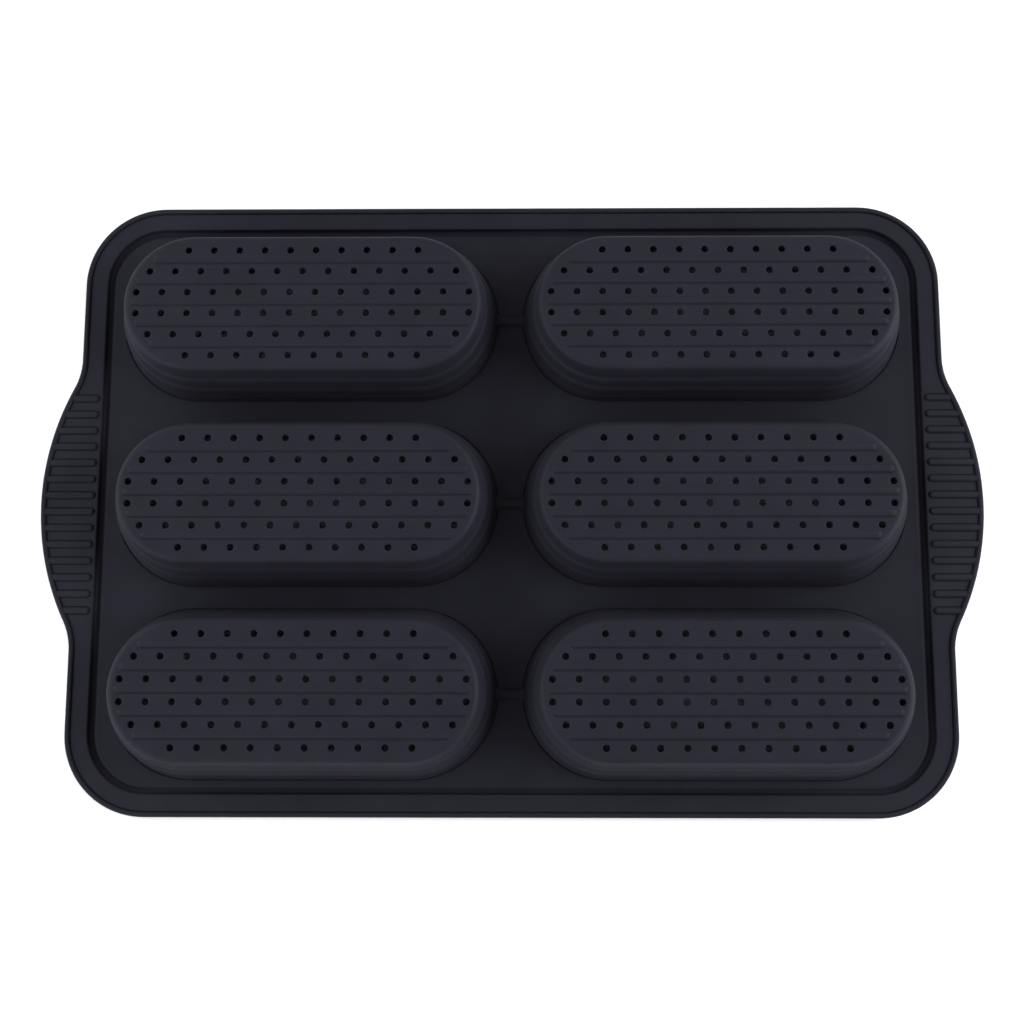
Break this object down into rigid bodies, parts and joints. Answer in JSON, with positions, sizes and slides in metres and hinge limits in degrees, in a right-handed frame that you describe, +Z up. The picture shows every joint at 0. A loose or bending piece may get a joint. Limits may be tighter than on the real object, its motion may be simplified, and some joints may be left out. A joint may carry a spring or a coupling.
{
  "type": "baguette tray",
  "caption": "Perforated silicone tray for short baguettes, upside down on its rim: long round-ended cups with steam holes, a stiffened flat rim and a ribbed grip at each end.",
  "frame": {"origin": "centre of the tray's footprint, on the plane that the rim's loading side rests on while the tray lies upside down", "axes": "+X along the tray from the left grip to the right grip, +Y towards the back row of cups, +Z up from the rim's loading side to the cups' bases; in use the tray is turned over, so that its loading side faces up"},
  "size_m": [0.419, 0.2746, 0.0329],
  "materials": {
    "silicone": "matte, dark blue-grey silicone with a soft sheen",
    "stainless_steel": "satin strip, hidden inside the rim"
  },
  "bodies": {
    "root": {"deck": "silicone", "cup_back_left": "silicone", "cup_middle_left": "silicone", "cup_front_left": "silicone", "cup_back_right": "silicone", "cup_middle_right": "silicone", "cup_front_right": "silicone", "rim_underside": "silicone", "rim_loading_side": "silicone", "edge_lip": "silicone", "left_grip_underside": "silicone", "left_grip_loading_side": "silicone", "right_grip_underside": "silicone", "right_grip_loading_side": "silicone", "steel_frame": "stainless_steel"}
  },
  "joints": []
}
